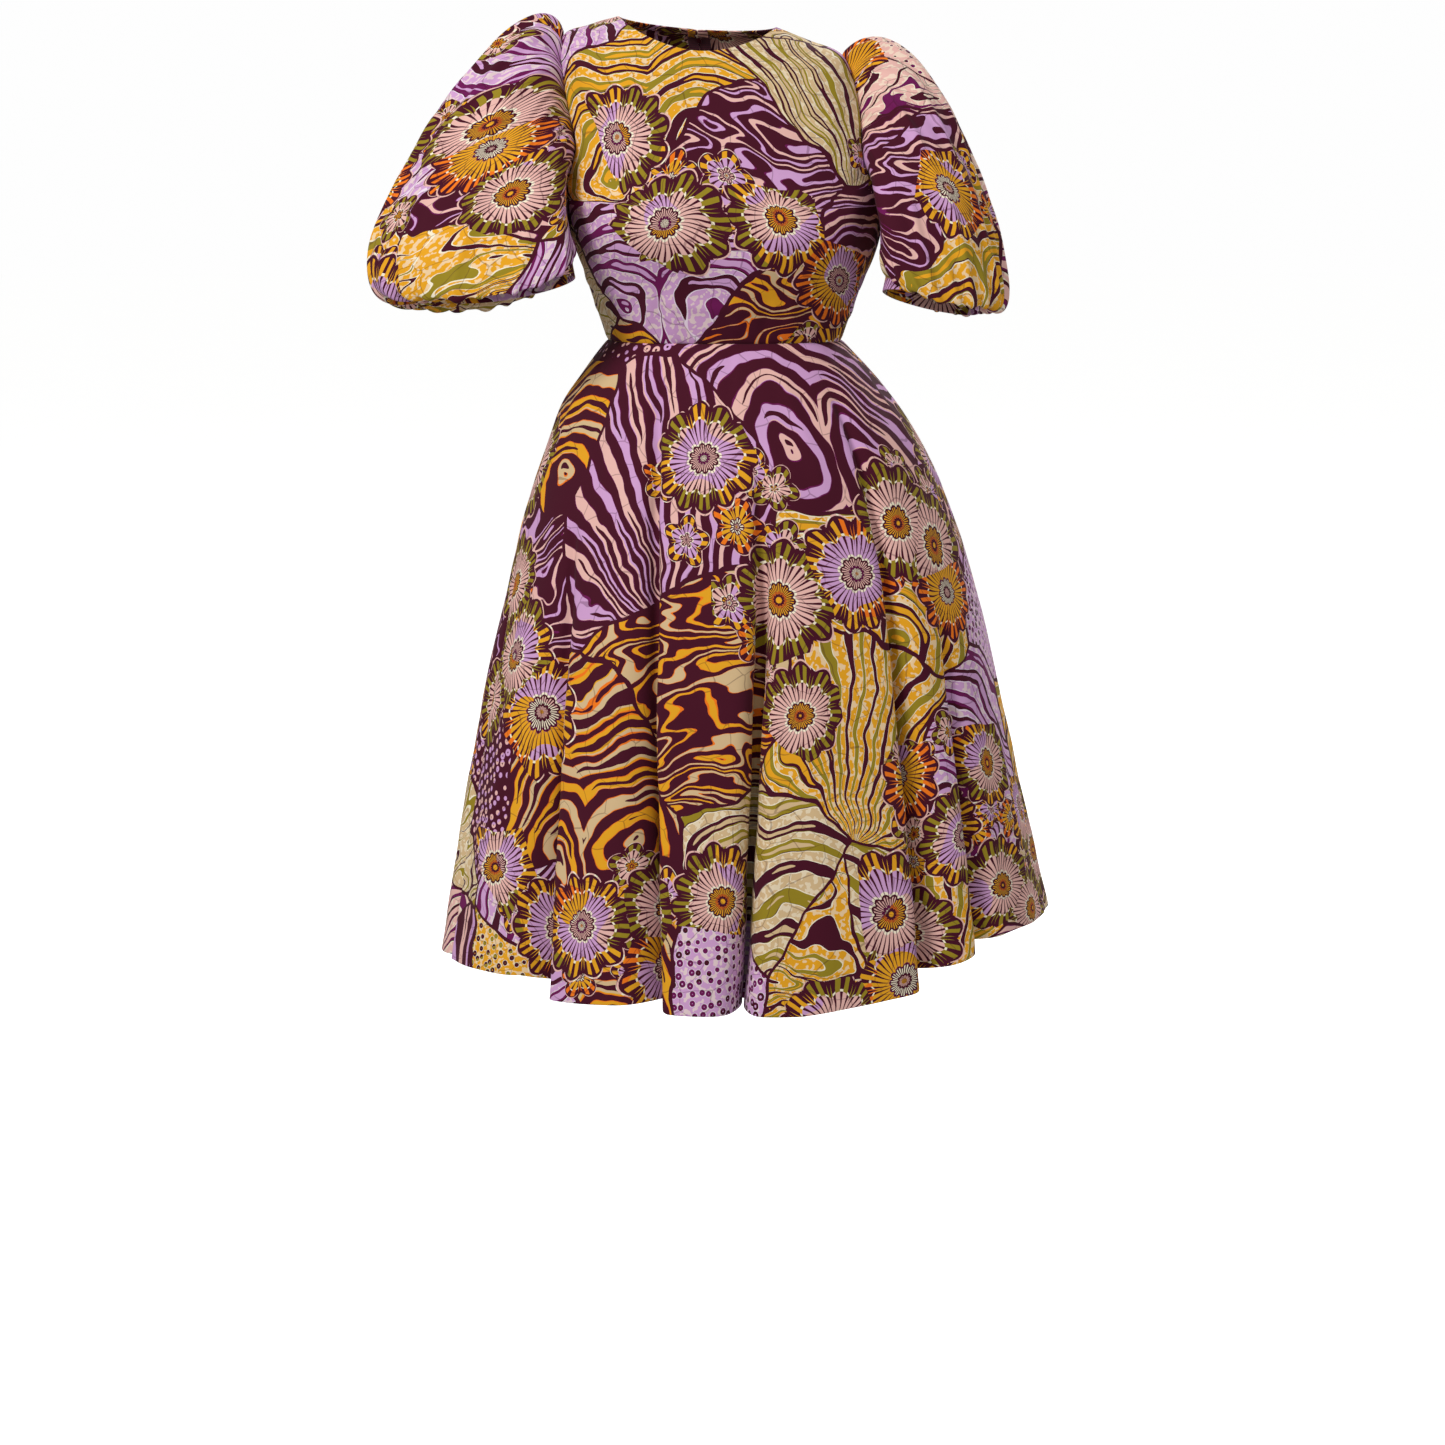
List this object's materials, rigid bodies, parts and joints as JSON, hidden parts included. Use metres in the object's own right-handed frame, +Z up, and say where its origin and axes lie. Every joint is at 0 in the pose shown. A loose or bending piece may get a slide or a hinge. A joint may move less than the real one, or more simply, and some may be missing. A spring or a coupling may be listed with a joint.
{
  "type": "wax print dress",
  "caption": "Ankara wax print dress as worn to the knee: fitted bodice, round neck, puff sleeves gathered on narrow bands, full skirt in deep folds and a centre back zip.",
  "frame": {"origin": "middle of the neck opening at the height of its shoulder points, where the wearer's shoulders hold the dress", "axes": "+Z up, front towards -Y, the wearer's left towards +X"},
  "size_m": [0.7404, 0.5669, 1.0321],
  "materials": {
    "printed_cotton": "waxed plain weave",
    "zip_tape": "matte woven",
    "lacquered_zinc": "lacquered"
  },
  "bodies": {
    "dress": {"bodice_front": "printed_cotton", "bodice_back_left": "printed_cotton", "bodice_back_right": "printed_cotton", "skirt_front": "printed_cotton", "skirt_back_left": "printed_cotton", "skirt_back_right": "printed_cotton", "sleeve_left": "printed_cotton", "sleeve_right": "printed_cotton", "sleeve_band_left": "printed_cotton", "sleeve_band_right": "printed_cotton", "zip_tape_left": "zip_tape", "zip_tape_right": "zip_tape", "zip_slider": "lacquered_zinc"},
    "zip_pull": {"zip_pull": "lacquered_zinc"}
  },
  "joints": [
    {"name": "pull_hinge", "type": "hinge", "parent": "dress", "child": "zip_pull", "pos_m": [0.00099, 0.07949, -0.01013], "axis": [0.9969, -0.0622, 0.0477], "range_deg": [0, 110]}
  ]
}
